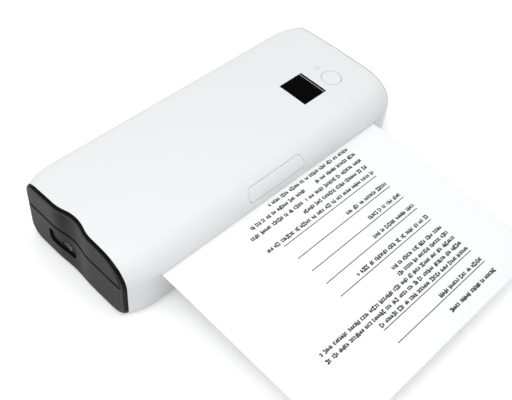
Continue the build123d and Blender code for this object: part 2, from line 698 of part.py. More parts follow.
def release_button():
    """Cover release: a piece of the front slope with a flange behind and a pad on the tongue."""
    inner = WALL + GAP + FLANGE_WALL
    cap = shell_between(0.0, inner) & release_prism(0.0)
    flange = shell_between(WALL + GAP, inner) & release_prism(FLANGE_REACH)
    pad = shell_between(inner - 0.2, TONGUE_INSET - TONGUE_THICKNESS / 2 - GAP) & pad_prism()
    return cap + flange + pad


def tongue_tip():
    """End of the latch tongue, (Y, Z)."""
    radius = FRONT_TOP_RADIUS - TONGUE_INSET
    angle = radians(PAD_ANGLE)
    return (EDGE_CENTRE_Y - radius * cos(angle), EDGE_CENTRE_Z + radius * sin(angle))


def latch_bar():
    """Steel bar with the tongue in the middle and a hook at each end."""
    hook_start = BRACKET_X + BRACKET + 0.4
    bar = rod(BAR_RADIUS, (-hook_start - HOOK_WIDTH, hook_start + HOOK_WIDTH), BAR_Y, BAR_Z)
    tongue = link((BAR_Y, BAR_Z), tongue_tip(), TONGUE_THICKNESS)
    bar += slab(tongue, (RELEASE_X - TONGUE_LENGTH / 2, RELEASE_X + TONGUE_LENGTH / 2))
    arm_y = CATCH_Y + CATCH_PIN_RADIUS + GAP + HOOK_THICKNESS / 2
    nose_width = HOOK_THICKNESS - 0.4
    nose_z = CATCH_Z - CATCH_PIN_RADIUS - GAP - nose_width / 2
    elbow = (arm_y, PLATEN_Z + 2)
    heel = (arm_y, nose_z)
    hook = link((BAR_Y, BAR_Z), elbow, HOOK_THICKNESS) + link(elbow, heel, HOOK_THICKNESS)
    hook += link(heel, (CATCH_Y - 0.5, nose_z), nose_width)
    for start in (hook_start, -hook_start - HOOK_WIDTH):
        bar += slab(hook, (start, start + HOOK_WIDTH))
    return bar


# ---- platen ----------------------------------------------------------------------------------
def platen_rubber():
    """Rubber sleeve."""
    return rod(PLATEN_RADIUS, (-PLATEN_HALF, PLATEN_HALF), PLATEN_Y, PLATEN_Z) - platen_core()


def platen_core():
    """Full-length cylinder of the shaft."""
    return rod(PLATEN_SHAFT, (-SIDE_PLATE_X - BUSH_LENGTH - 0.4, gear_layer(0)[1] + 0.4), PLATEN_Y, PLATEN_Z)


def platen_bushes():
    """Plain bushes that drop into the frame's notches."""
    middle = SIDE_PLATE_X + PLATE / 2
    bush = rod(BUSH_RADIUS, (middle - BUSH_LENGTH / 2, middle + BUSH_LENGTH / 2), PLATEN_Y, PLATEN_Z)
    bush -= rod(PLATEN_SHAFT + RUNNING, (0, 2 * middle), PLATEN_Y, PLATEN_Z)
    return [bush, mirror(bush, about=Plane.YZ)]


# ---- gears -----------------------------------------------------------------------------------
def gear_layer(index):
    """X range of a gear layer outside the right side plate."""
    start = SIDE_PLATE_X + PLATE + GEAR_START + index * (GEAR_WIDTH + LAYER_STEP)
    return (start, start + GEAR_WIDTH)


def involute(angle):
    """Involute function."""
    return tan(angle) - angle


def gear(teeth, centre, towards, gap_first, span):
    """Spur gear; a tooth, or a gap, points from its centre towards another centre."""
    pitch = MODULE * teeth / 2
    base = pitch * cos(radians(PRESSURE_ANGLE))
    tip = pitch + ADDENDUM * MODULE
    root = pitch - DEDENDUM * MODULE
    half_tooth = (pi * MODULE / 2 - BACKLASH) / (2 * pitch)
    start = atan2(towards[1] - centre[1], towards[0] - centre[0])
    if gap_first:
        start += pi / teeth
    flank = [max(base, root), pitch, tip]
    points = []
    for tooth in range(teeth):
        middle = start + 2 * pi * tooth / teeth
        rise = []
        for radius in flank:
            roll = acos(min(1.0, base / radius))
            half = half_tooth + involute(radians(PRESSURE_ANGLE)) - involute(roll)
            rise.append((radius, half))
        rise = [(root, rise[0][1])] + rise
        for radius, half in rise:
            points.append((centre[0] + radius * cos(middle - half), centre[1] + radius * sin(middle - half)))
        for radius, half in reversed(rise):
            points.append((centre[0] + radius * cos(middle + half), centre[1] + radius * sin(middle + half)))
    return slab(polygon(*points), span)


def idler_centre():
    """Centre of the compound gear, in mesh with the platen gear and the motor pinion."""
    to_platen = MODULE * (SMALL_TEETH + PLATEN_TEETH) / 2
    to_motor = MODULE * (WHEEL_TEETH + PINION_TEETH) / 2
    across = (MOTOR_Y - PLATEN_Y, MOTOR_Z - PLATEN_Z)
    distance = hypot(*across)
    along = (distance ** 2 + to_platen ** 2 - to_motor ** 2) / (2 * distance)
    aside = sqrt(to_platen ** 2 - along ** 2)
    unit = (across[0] / distance, across[1] / distance)
    return (PLATEN_Y + along * unit[0] + aside * unit[1], PLATEN_Z + along * unit[1] - aside * unit[0])


def platen_gear():
    """Gear on the platen's right end."""
    wheel = gear(PLATEN_TEETH, (PLATEN_Y, PLATEN_Z), idler_centre(), True, gear_layer(0))
    return wheel - platen_core()


def compound_gear():
    """Idler: small gear on the platen side, wheel on the motor side."""
    y, z = idler_centre()
    small = gear(SMALL_TEETH, (y, z), (PLATEN_Y, PLATEN_Z), False, gear_layer(0))
    wheel = gear(WHEEL_TEETH, (y, z), (MOTOR_Y, MOTOR_Z), False, gear_layer(1))
    hub = rod(MODULE * SMALL_TEETH / 2 - 1.0, (gear_layer(0)[0], gear_layer(1)[1]), y, z)
    bore = rod(GEAR_PIN + RUNNING, (SIDE_PLATE_X, 2 * SIDE_PLATE_X), y, z)
    return small + hub + wheel - bore


def gear_pin():
    """Pin of the compound gear with its retaining head."""
    y, z = idler_centre()
    face = SIDE_PLATE_X + PLATE
    shaft = rod(GEAR_PIN, (face, gear_layer(1)[1] + GAP), y, z)
    shoulder = rod(GEAR_PIN + 1.0, (face, gear_layer(0)[0] - GAP), y, z)
    head = rod(GEAR_PIN + 0.9, (gear_layer(1)[1] + GAP, gear_layer(1)[1] + GAP + 0.8), y, z)
    return shaft + shoulder + head


def motor():
    """Stepper motor: can, ears against the side plate, bore for the rotor shaft."""
    ears = link((MOTOR_Y - MOTOR_EAR, MOTOR_Z), (MOTOR_Y + MOTOR_EAR, MOTOR_Z), 6.0)
    ears += Pos(MOTOR_Y, MOTOR_Z) * Circle(MOTOR_RADIUS)
    flange = slab(ears, (SIDE_PLATE_X - 1.0, SIDE_PLATE_X))
    can = rod(MOTOR_RADIUS, (SIDE_PLATE_X - 1.0 - MOTOR_LENGTH, SIDE_PLATE_X - 1.0), MOTOR_Y, MOTOR_Z)
    can = chamfer(can.edges().filter_by(GeomType.CIRCLE).group_by(Axis.X)[0], 0.8)
    return can + flange - rod(MOTOR_SHAFT + RUNNING, (SIDE_PLATE_X - 7, 2 * SIDE_PLATE_X), MOTOR_Y, MOTOR_Z)


def motor_pinion():
    """Rotor shaft with the pinion on it."""
    pinion = gear(PINION_TEETH, (MOTOR_Y, MOTOR_Z), idler_centre(), True, gear_layer(1))
    return pinion + rod(MOTOR_SHAFT, (SIDE_PLATE_X - 6, gear_layer(1)[1] + 0.4), MOTOR_Y, MOTOR_Z)


# ---- frame and head --------------------------------------------------------------------------
def side_plate(span):
    """Upright plate with the open notch for the platen bush."""
    shoulder = WEB_BOTTOM - GAP
    outline = polygon((FRAME_FRONT, FRAME_Z), (FRAME_BACK, FRAME_Z), (FRAME_BACK, MOTOR_Z + 6), (HEAD_BACK + 2, shoulder),
                      (PLATEN_Y + NOTCH_ARM, shoulder), (PLATEN_Y + NOTCH_ARM, PLATEN_Z + 2),
                      (PLATEN_Y - NOTCH_ARM, PLATEN_Z + 2), (PLATEN_Y - NOTCH_ARM, shoulder),
                      (FRAME_EAR, shoulder), (FRAME_EAR, CATCH_Z - 3), (FRAME_FRONT, CATCH_Z - 6))
    room = BUSH_RADIUS + GAP
    notch = Pos(PLATEN_Y, PLATEN_Z) * Circle(room) + Pos(PLATEN_Y, PLATEN_Z + 5) * Rectangle(2 * room, 10)
    rod_hole = Pos(HEAD_ROD_Y, HEAD_ROD_Z) * Circle(HEAD_ROD)
    return slab(outline - notch - rod_hole, span)


def mech_frame():
    """One folded sheet: floor, two low flanges and the side plates."""
    inner = SIDE_PLATE_X
    outer = SIDE_PLATE_X + PLATE
    frame = block((-outer, outer), (FRAME_FRONT, FRAME_BACK), (FRAME_Z, FRAME_Z + PLATE))
    frame += block((-inner + 8, inner - 8), (FRAME_FRONT, FRAME_FRONT + PLATE), (FRAME_Z, FRAME_Z + FRONT_FLANGE))
    frame += block((-inner + 8, inner - 24), (FRAME_BACK - PLATE, FRAME_BACK), (FRAME_Z, FRAME_Z + BACK_FLANGE))
    frame += side_plate((inner, outer)) - rod(4.0, (inner - 1, outer + 1), MOTOR_Y, MOTOR_Z)
    frame += side_plate((-outer, -inner))
    for x, y in frame_screw_places():
        frame -= post(SCREW_RADIUS + RUNNING, x, y, (0, HEIGHT / 2))
    return frame


def catch_pins():
    """Pins that the cover's hooks hold under."""
    start = BRACKET_X + BRACKET + 0.4
    pin = rod(CATCH_PIN_RADIUS, (start, SIDE_PLATE_X), CATCH_Y, CATCH_Z)
    return [pin, mirror(pin, about=Plane.YZ)]


def head_rod():
    """Rod that the print head tilts on."""
    reach = SIDE_PLATE_X + PLATE
    return rod(HEAD_ROD, (-reach, reach), HEAD_ROD_Y, HEAD_ROD_Z)


def head_sink():
    """Aluminium extrusion under the ceramic, grooved below, bored for the rod."""
    low = HEAD_BLOCK_TOP - HEAD_BLOCK
    outline = polygon((HEAD_FRONT, low), (HEAD_BACK, low), (HEAD_BACK, HEAD_BLOCK_TOP), (HEAD_FRONT, HEAD_BLOCK_TOP))
    outline = fillet(outline.vertices(), 0.5)
    for y in (HEAD_FRONT + 3, HEAD_FRONT + 7, HEAD_FRONT + 11):
        outline -= Pos(y, low) * Rectangle(1.6, 4.0)
    outline -= Pos(HEAD_ROD_Y, HEAD_ROD_Z) * Circle(HEAD_ROD + RUNNING)
    return slab(outline, (-HEAD_HALF, HEAD_HALF))


def head_ceramic():
    """Ceramic plate with the raised glaze line under the platen."""
    top = HEAD_BLOCK_TOP + CERAMIC
    outline = polygon((HEAD_FRONT + 1.5, HEAD_BLOCK_TOP), (HEAD_BACK - 4.2, HEAD_BLOCK_TOP), (HEAD_BACK - 4.2, top),
                      (PLATEN_Y + 1.2, top), (PLATEN_Y + 0.5, HEAD_TOP), (PLATEN_Y - 0.5, HEAD_TOP),
                      (PLATEN_Y - 1.2, top), (HEAD_FRONT + 1.5, top))
    return slab(outline, (-HEAD_HALF + 0.5, HEAD_HALF - 0.5))


def head_drivers():
    """Resin bead over the driver chips."""
    low = HEAD_BLOCK_TOP
    outline = polygon((HEAD_BACK - 4.0, low), (HEAD_BACK - 0.6, low), (HEAD_BACK - 0.6, low + 0.5),
                      (HEAD_BACK - 1.4, low + 0.9), (HEAD_BACK - 3.4, low + 0.9), (HEAD_BACK - 4.0, low + 0.6))
    return slab(outline, (-HEAD_HALF + 4, HEAD_HALF - 4))


def head_springs():
    """Three leaf springs that lift the head."""
    low = FRAME_Z + PLATE
    high = HEAD_BLOCK_TOP - HEAD_BLOCK - GAP
    springs = []
    heel = HEAD_BACK - 3.0
    crest = PLATEN_Y - 2.8
    for x in (36.0 - HEAD_HALF, 0.0, HEAD_HALF - 36.0):
        foot = polygon((heel + 12, low), (heel, low), (heel, low + 0.5), (heel + 12, low + 0.5))
        leaf = polygon((heel, low), (crest - 1.6, high - 1.2), (crest, high), (crest + 1.6, high - 0.9),
                       (crest + 1.3, high - 1.3), (crest, high - 0.6), (crest - 1.0, high - 1.4), (heel + 0.4, low + 0.5))
        springs.append(slab(foot + leaf, (x - 7, x + 7)))
    return springs


def tear_bar():
    """Serrated strip behind the base's front wall."""
    wall = FRONT + WALL
    top = WEB_BOTTOM - SLOT_BOTTOM - SEAT
    pitch = 3.0
    half = SLOT_HALF - 5.4
    count = int(2 * half / pitch)
    points = [(-half, top - 9), (half, top - 9)]
    for index in range(count, -1, -1):
        x = -half + index * pitch
        points.append((x, top - 1.0))
        if index:
            points.append((x - pitch / 2, top))
    strip = Plane.XZ * polygon(*points)
    return Pos(0, wall + 0.5, 0) * extrude(strip, amount=0.5)


# ---- tray, roll and web ----------------------------------------------------------------------
def tray_line(depth):
    """Tray profile from the head to the rear wall: deck, lip, round bay, lip and flange."""
    share = (BAY_RADIUS + depth) / (BAY_RADIUS + TRAY_LIP)
    meet_z = ROLL_Z + (LIP_Z - ROLL_Z) * share
    front = (ROLL_Y - LIP_AWAY * share, meet_z)
    back = (ROLL_Y + LIP_AWAY * share, meet_z)
    level = DECK_TOP - depth
    deck = Line((HEAD_BACK + DECK_BACK_OF_HEAD, level), (LIP_Y, level))
    lip = TangentArc(deck @ 1, front, tangent=(1, 0))
    bay = TangentArc(front, back, tangent=lip % 1)
    back_lip = TangentArc(back, (ROLL_Y + LIP_AWAY, level), tangent=bay % 1)
    flange = Line(back_lip @ 1, (FLANGE_END, level))
    return deck + lip + bay + back_lip + flange


def inner_tray():
    """Deck, roll bay with its cheeks, sensor window and hub openings."""
    start = HEAD_BACK + DECK_BACK_OF_HEAD
    ends = Line((start, DECK_TOP), (start, DECK_TOP - TRAY)) + Line((FLANGE_END, DECK_TOP), (FLANGE_END, DECK_TOP - TRAY))
    tray = slab(make_face(tray_line(0) + tray_line(TRAY) + ends), (-TRAY_HALF, TRAY_HALF))
    disc = Pos(ROLL_Y, ROLL_Z) * Circle(BAY_RADIUS + TRAY)
    cheek = disc & Pos(ROLL_Y, DECK_TOP - HEIGHT / 2) * Rectangle(DEPTH, HEIGHT)
    tray += slab(cheek - Pos(ROLL_Y, ROLL_Z) * Circle(HUB_FLANGE + GAP), (TRAY_HALF, TRAY_HALF + TRAY))
    tray += slab(cheek - Pos(ROLL_Y, ROLL_Z) * Circle(HUB_STEM + SEAT), (-TRAY_HALF - TRAY, -TRAY_HALF))
    tray -= sensor_room(SEAT)
    for x, y in tray_screw_places():
        tray += post(BOSS_RADIUS + 0.8, x, y, (DECK_TOP - TRAY - TRAY_BOSS, DECK_TOP))
        tray -= post(SCREW_HEAD_RADIUS + 2 * SEAT, x, y, (DECK_TOP - SCREW_HEAD - 2 * SEAT, HEIGHT))
        tray -= post(SCREW_RADIUS + RUNNING, x, y, (0, HEIGHT))
    return tray


def sensor_room(grow):
    """Space of the paper sensor in the deck."""
    x = (35.0 - grow, 41.0 + grow)
    y = (HEAD_BACK + 9.0 - grow, HEAD_BACK + 14.0 + grow)
    return block(x, y, (DECK_TOP - 3.4 - grow, DECK_TOP))


def roll_hub(side):
    """Hub that carries one end of the core: nose, flange and stem."""
    face = TRAY_HALF
    flange_start = face - HUB_FLANGE_THICKNESS
    stem_end = TRAY_HALF + TRAY + 1.0 if side < 0 else HUB_GUIDE_X + HUB_GUIDE + 1.5
    hub = rod(HUB_FLANGE, (flange_start, face), ROLL_Y, ROLL_Z)
    nose = rod(HUB_RADIUS, (flange_start - HUB_NOSE, flange_start), ROLL_Y, ROLL_Z)
    nose = chamfer(nose.edges().filter_by(GeomType.CIRCLE).group_by(Axis.X)[0], 1.2)
    hub += nose + rod(HUB_STEM, (face, stem_end), ROLL_Y, ROLL_Z)
    return hub if side > 0 else mirror(hub, about=Plane.YZ)


def hub_guide():
    """Cup on the right cheek that guides the sliding hub."""
    start = TRAY_HALF + TRAY
    inner = HUB_FLANGE + GAP
    cup = rod(inner + HUB_CUP, (start, HUB_GUIDE_X + HUB_GUIDE), ROLL_Y, ROLL_Z)
    cup -= rod(inner, (start - 1, HUB_GUIDE_X), ROLL_Y, ROLL_Z)
    return cup - rod(HUB_STEM + RUNNING, (start, 2 * HUB_GUIDE_X), ROLL_Y, ROLL_Z)


def paper_roll():
    """Paper on the roll."""
    half = PAPER_WIDTH / 2
    roll = rod(ROLL_RADIUS, (-half, half), ROLL_Y, ROLL_Z)
    return roll - rod(CORE_RADIUS, (-half, half), ROLL_Y, ROLL_Z)


def roll_core():
    """Cardboard core."""
    half = PAPER_WIDTH / 2
    core = rod(CORE_RADIUS, (-half, half), ROLL_Y, ROLL_Z)
    return core - rod(CORE_BORE, (-half, half), ROLL_Y, ROLL_Z)


def web_line(up):
    """Line of the paper from the roll over the lip, through the slot and out, up above its lower face."""
    roll_radius = ROLL_RADIUS + GAP + PAPER_THICKNESS - up
    lip_radius = TRAY_LIP + GAP + up
    rise = asin((roll_radius + lip_radius) / (BAY_RADIUS + TRAY_LIP))
    heading = atan2(LIP_Z - ROLL_Z, LIP_Y - ROLL_Y) - rise
    normal = (sin(heading), -cos(heading))
    leave_roll = (ROLL_Y - roll_radius * normal[0], ROLL_Z - roll_radius * normal[1])
    meet_lip = (LIP_Y + lip_radius * normal[0], LIP_Z + lip_radius * normal[1])
    climb = Line(leave_roll, meet_lip)
    over = TangentArc(meet_lip, (LIP_Y, LIP_Z + lip_radius), tangent=climb % 1)
    bend_y = FRONT - 2.0
    level = Line(over @ 1, (bend_y, WEB_BOTTOM + up))
    slope = radians(SHEET_SLOPE)
    bend_radius = SHEET_BEND / slope
    bend = TangentArc(level @ 1, round_point((bend_y, WEB_BOTTOM - bend_radius), bend_radius + up, slope),
                      tangent=(-1, 0))
    run = SHEET_LENGTH - SHEET_BEND - CURL_LENGTH - 2.0
    bend_end = round_point((bend_y, WEB_BOTTOM - bend_radius), bend_radius, slope)
    run_end = (bend_end[0] - run * cos(slope), bend_end[1] - run * sin(slope))
    curl = radians(CURL_ANGLE)
    curl_radius = CURL_LENGTH / curl
    curl_centre = (run_end[0] + curl_radius * sin(slope), run_end[1] - curl_radius * cos(slope))
    straight = Line(bend @ 1, round_point(curl_centre, curl_radius + up, slope))
    last = TangentArc(straight @ 1, round_point(curl_centre, curl_radius + up, slope + curl), tangent=straight % 1)
    return climb + over + level + bend + straight + last


def round_point(centre, radius, angle):
    """Point at an angle forward of straight up."""
    return (centre[0] - radius * sin(angle), centre[1] + radius * cos(angle))


def paper_web():
    """Paper between the roll and the sheet's leading edge."""
    lower = web_line(0.0)
    upper = web_line(PAPER_THICKNESS)
    ends = Line(lower @ 0, upper @ 0) + Line(lower @ 1, upper @ 1)
    half = PAPER_WIDTH / 2
    return slab(make_face(lower + upper + ends), (-half, half))


# ---- electrics -------------------------------------------------------------------------------
def paper_sensor():
    """Reflective sensor under the paper."""
    return sensor_room(0.0)


def battery_cells():
    """Two round cells end to end."""
    cells = []
    for index in range(2):
        start = CELL_START + index * (CELL_LENGTH + CELL_SPACE)
        cell = rod(CELL_RADIUS, (start, start + CELL_LENGTH), CELL_Y, CELL_Z)
        cell = chamfer(cell.edges().filter_by(GeomType.CIRCLE), 0.6)
        cells.append(cell + rod(2.6, (start + CELL_LENGTH, start + CELL_LENGTH + 0.9), CELL_Y, CELL_Z))
    return cells


def battery_tray():
    """Trough under the cells, with end walls."""
    span = (CELL_START - 1.0 - CELL_TRAY, CELL_END + 1.0 + CELL_TRAY)
    bore = CELL_RADIUS + GAP
    half = bore + CELL_TRAY
    outline = Pos(CELL_Y, FLOOR + half * 0.55) * Rectangle(2 * half, half * 1.1)
    hollow = Pos(CELL_Y, CELL_Z) * Circle(bore)
    tray = slab(outline - hollow, span)
    for start in (span[0], span[1] - CELL_TRAY):
        tray += slab(outline, (start, start + CELL_TRAY))
    return tray


def main_board():
    """Board behind the USB socket: processor, power chip, sockets and posts' holes."""
    top = MAIN_BOARD_TOP
    board = block(MAIN_BOARD_X, MAIN_BOARD_Y, (top - BOARD, top))
    x = (MAIN_BOARD_X[0] + MAIN_BOARD_X[1]) / 2
    for back, width, depth, height in ((14, 8, 8, 1.0), (26, 5, 4, 1.2), (56, 7, 6, 4.5)):
        board += Pos(x, MAIN_BOARD_Y[1] - back, top + height / 2) * Box(width, depth, height)
    return board


PARTS = {
    "base_case": base_case,
    "left_base_rim": lambda: below_parting(end_rim(-1)),
    "right_base_rim": lambda: below_parting(end_rim(1)),
    "left_base_panel": left_base_panel,
    "right_base_panel": lambda: base_panel(1),
    "foot_pads": foot_pads,
    "hinge_pins": hinge_pins,
    "mech_frame": mech_frame,
    "catch_pins": catch_pins,
    "head_rod": head_rod,
    "head_sink": head_sink,
    "head_ceramic": head_ceramic,
    "head_drivers": head_drivers,
    "head_springs": head_springs,
    "tear_bar": tear_bar,
    "stepper_motor": motor,
    "motor_pinion": motor_pinion,
    "compound_gear": compound_gear,
    "gear_pin": gear_pin,
    "inner_tray": inner_tray,
    "left_roll_hub": lambda: roll_hub(-1),
    "right_roll_hub": lambda: roll_hub(1),
    "hub_guide": hub_guide,
    "paper_roll": paper_roll,
    "roll_core": roll_core,
    "paper_web": paper_web,
    "paper_sensor": paper_sensor,
    "battery_cells": battery_cells,
    "battery_tray": battery_tray,
    "main_board": main_board,
    "usb_socket": usb_socket,
    "base_screws": base_screws,
    "top_cover": top_cover,
    "left_cover_rim": lambda: above_parting(end_rim(-1)),
    "right_cover_rim": lambda: above_parting(end_rim(1)),
    "left_cover_lip": lambda: cover_lip(-1),
    "right_cover_lip": lambda: cover_lip(1),
    "display_window": display_window,
    "display_module": display_module,
    "power_button": power_button,
    "light_pipe": light_pipe,
    "cover_board": cover_board,
    "board_cover": board_cover,
    "cover_screws": cover_screws,
    "release_button": release_button,
    "latch_bar": latch_bar,
    "platen_rubber": platen_rubber,
    "platen_shaft": platen_core,
    "platen_bushes": platen_bushes,
    "platen_gear": platen_gear,
}


os.makedirs("parts", exist_ok=True)
for name, make in PARTS.items():
    solid = make()
    if isinstance(solid, list):
        solid = Compound(children=solid)
    export_step(solid, f"parts/{name}.step")
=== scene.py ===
import random
from math import cos, pi, radians, sin, sqrt, tan

import bmesh
import bpy
from mathutils import Matrix, Vector


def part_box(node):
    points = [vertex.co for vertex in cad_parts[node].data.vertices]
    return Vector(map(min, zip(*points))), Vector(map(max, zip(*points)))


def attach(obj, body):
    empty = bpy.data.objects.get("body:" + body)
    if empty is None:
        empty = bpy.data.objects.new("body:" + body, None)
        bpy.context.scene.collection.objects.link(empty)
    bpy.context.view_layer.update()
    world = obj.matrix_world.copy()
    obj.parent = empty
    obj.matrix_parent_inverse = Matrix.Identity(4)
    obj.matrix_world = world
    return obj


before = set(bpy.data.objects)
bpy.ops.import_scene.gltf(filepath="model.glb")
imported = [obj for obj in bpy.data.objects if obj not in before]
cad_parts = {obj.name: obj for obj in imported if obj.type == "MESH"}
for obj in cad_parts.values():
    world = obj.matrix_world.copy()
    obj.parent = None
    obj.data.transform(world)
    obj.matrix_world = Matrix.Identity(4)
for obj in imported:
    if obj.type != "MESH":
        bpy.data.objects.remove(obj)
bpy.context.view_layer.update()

X, Y, Z = range(3)                  # axes of a place
LOW, HIGH = range(2)                # corners of a node's box

# ---- camera ----------------------------------------------------------------------------------
CAMERA_TURN = radians(-49.74)       # from straight in front towards the left end
CAMERA_RISE = radians(48.74)
CAMERA_ROLL = radians(6.18)
CAMERA_AIM = Vector((0.00473, -0.0339, 0.0))
CAMERA_AWAY = 0.61106
CAMERA_LENS = 58.36                 # millimetres, as the sensor
CAMERA_SENSOR = 36.0
CAMERA_NEAREST = 0.01


def place_camera():
    """Camera over the left front corner, rolled a little."""
    level = Vector((cos(CAMERA_TURN), sin(CAMERA_TURN), 0.0))
    back = Vector((sin(CAMERA_TURN) * cos(CAMERA_RISE), -cos(CAMERA_TURN) * cos(CAMERA_RISE),
                   sin(CAMERA_RISE)))
    upright = back.cross(level)
    right = level * cos(CAMERA_ROLL) + upright * sin(CAMERA_ROLL)
    up = upright * cos(CAMERA_ROLL) - level * sin(CAMERA_ROLL)
    lens = bpy.data.cameras.new("camera")
    lens.lens = CAMERA_LENS
    lens.sensor_width = CAMERA_SENSOR
    lens.clip_start = CAMERA_NEAREST
    camera = bpy.data.objects.new("camera", lens)
    bpy.context.collection.objects.link(camera)
    stand = Matrix((right, up, back)).transposed().to_4x4()
    stand.translation = CAMERA_AIM + back * CAMERA_AWAY
    camera.matrix_world = stand
    bpy.context.scene.camera = camera


# ---- shader tools ----------------------------------------------------------------------------
FLOAT = "NodeSocketFloat"
VECTOR = "NodeSocketVector"
COLOUR = "NodeSocketColor"


def wire(tree, kind, *inputs, **values):
    """New node with its properties and named inputs, and then its first inputs in their order."""
    node = tree.nodes.new(kind)
    for key, value in values.items():
        if hasattr(node, key):
            setattr(node, key, value)
        else:
            give(tree, node.inputs[key.replace("_", " ")], value)
    for socket, value in zip(node.inputs, inputs):
        give(tree, socket, value)
    return node


def give(tree, socket, value):
    """Link an output to a socket, or set the socket's own value."""
    if isinstance(value, bpy.types.NodeSocket):
        tree.links.new(value, socket)
    else:
        socket.default_value = value


def maths(tree, operation, first, second=0.0, third=0.0):
    return wire(tree, "ShaderNodeMath", first, second, third, operation=operation).outputs[0]


def noise(tree, place, scale, detail, roughness=0.5):
    return wire(tree, "ShaderNodeTexNoise", Vector=place, Scale=scale, Detail=detail,
                Roughness=roughness).outputs[0]


def blend_colours(tree, share, first, second):
    return wire(tree, "ShaderNodeMix", data_type="RGBA", Factor=share, A=first,
                B=second).outputs["Result"]


def spread(tree, value, low, high, to_low, to_high):
    """The value's run from low to high, as a run from to_low to to_high."""
    return wire(tree, "ShaderNodeMapRange", value, low, high, to_low, to_high).outputs[0]


def shade_colour(tree, colour, swing, depth):
    """Colour that gets lighter and darker by depth as swing goes above and below zero."""
    share = maths(tree, "MULTIPLY_ADD", swing, depth, 1.0)
    return wire(tree, "ShaderNodeVectorMath", colour, operation="SCALE", Scale=share).outputs[0]


def coordinate(tree, place, axis):
    return wire(tree, "ShaderNodeSeparateXYZ", place).outputs[axis]


# ---- effects that several materials share ----------------------------------------------------
NOISE_MIDDLE = 0.5
NOISE_RUN = (0.3, 0.7)              # holds most of a noise


def effect(name, inputs, outputs):
    """Empty node group with named sockets."""
    tree = bpy.data.node_groups.new(name, "ShaderNodeTree")
    for label, kind in inputs.items():
        tree.interface.new_socket(label, in_out="INPUT", socket_type=kind)
    for label, kind in outputs.items():
        tree.interface.new_socket(label, in_out="OUTPUT", socket_type=kind)
    inner = tree.nodes.new("NodeGroupInput").outputs
    outer = tree.nodes.new("NodeGroupOutput").inputs
    return tree, inner, outer


def make_moulded_grain():
    """Spark-eroded texture of moulded plastic, with faint cloudiness."""
    tree, inner, outer = effect(
        "moulded_grain",
        {"Place": VECTOR, "Scale": FLOAT, "Colour": COLOUR, "Roughness": FLOAT, "Cloud": FLOAT},
        {"Colour": COLOUR, "Roughness": FLOAT, "Height": FLOAT})
    rough_swing, grain_share, pit_share = 0.16, 0.7, 0.3
    grain = noise(tree, inner["Place"], inner["Scale"], detail=3.0, roughness=0.6)
    pits = wire(tree, "ShaderNodeTexVoronoi", Vector=inner["Place"], Scale=inner["Scale"])
    cloud = noise(tree, inner["Place"], scale=18.0, detail=2.0)
    cloud = maths(tree, "SUBTRACT", cloud, NOISE_MIDDLE)
    swing = maths(tree, "SUBTRACT", grain, NOISE_MIDDLE)
    swing = maths(tree, "MULTIPLY", swing, rough_swing)
    depth = maths(tree, "MULTIPLY", pits.outputs[0], pit_share)
    give(tree, outer["Colour"], shade_colour(tree, inner["Colour"], cloud, inner["Cloud"]))
    give(tree, outer["Roughness"], maths(tree, "ADD", inner["Roughness"], swing))
    give(tree, outer["Height"], maths(tree, "MULTIPLY_ADD", grain, grain_share, depth))
    return tree


def make_drawn_lines():
    """Fine lines of drawn or rolled metal along X."""
    tree, inner, outer = effect(
        "drawn_lines",
        {"Place": VECTOR, "Scale": FLOAT, "Colour": COLOUR, "Roughness": FLOAT,
         "Contrast": FLOAT},
        {"Colour": COLOUR, "Roughness": FLOAT, "Height": FLOAT})
    rough_swing, patch_share, stretch = 0.25, 0.06, (0.02, 1.0, 1.0)
    drawn = wire(tree, "ShaderNodeMapping", Vector=inner["Place"], Scale=stretch)
    lines = noise(tree, drawn.outputs[0], inner["Scale"], detail=4.0)
    swing = maths(tree, "SUBTRACT", lines, NOISE_MIDDLE)
    patches = noise(tree, inner["Place"], scale=60.0, detail=2.0)
    patches = maths(tree, "MULTIPLY", patches, patch_share)
    rough = maths(tree, "MULTIPLY_ADD", swing, rough_swing, patches)
    give(tree, outer["Colour"], shade_colour(tree, inner["Colour"], swing, inner["Contrast"]))
    give(tree, outer["Roughness"], maths(tree, "ADD", inner["Roughness"], rough))
    give(tree, outer["Height"], lines)
    return tree


def make_fibres():
    """Pressed fibres of paper and board."""
    tree, inner, outer = effect(
        "fibres",
        {"Place": VECTOR, "Scale": FLOAT, "Colour": COLOUR, "Contrast": FLOAT},
        {"Colour": COLOUR, "Height": FLOAT})
    stretch = (1.0, 0.35, 1.0)
    laid = wire(tree, "ShaderNodeMapping", Vector=inner["Place"], Scale=stretch)
    strands = noise(tree, laid.outputs[0], inner["Scale"], detail=5.0, roughness=0.65)
    swing = maths(tree, "SUBTRACT", strands, NOISE_MIDDLE)
    give(tree, outer["Colour"], shade_colour(tree, inner["Colour"], swing, inner["Contrast"]))
    give(tree, outer["Height"], strands)
    return tree


def make_smears():
    """Clouds of smoother and rougher surface."""
    tree, inner, outer = effect(
        "smears",
        {"Place": VECTOR, "Scale": FLOAT, "Detail": FLOAT, "Smooth": FLOAT, "Rough": FLOAT},
        {"Cloud": FLOAT, "Roughness": FLOAT})
    cloud = noise(tree, inner["Place"], inner["Scale"], inner["Detail"])
    rough = spread(tree, cloud, *NOISE_RUN, inner["Smooth"], inner["Rough"])
    give(tree, outer["Cloud"], cloud)
    give(tree, outer["Roughness"], rough)
    return tree


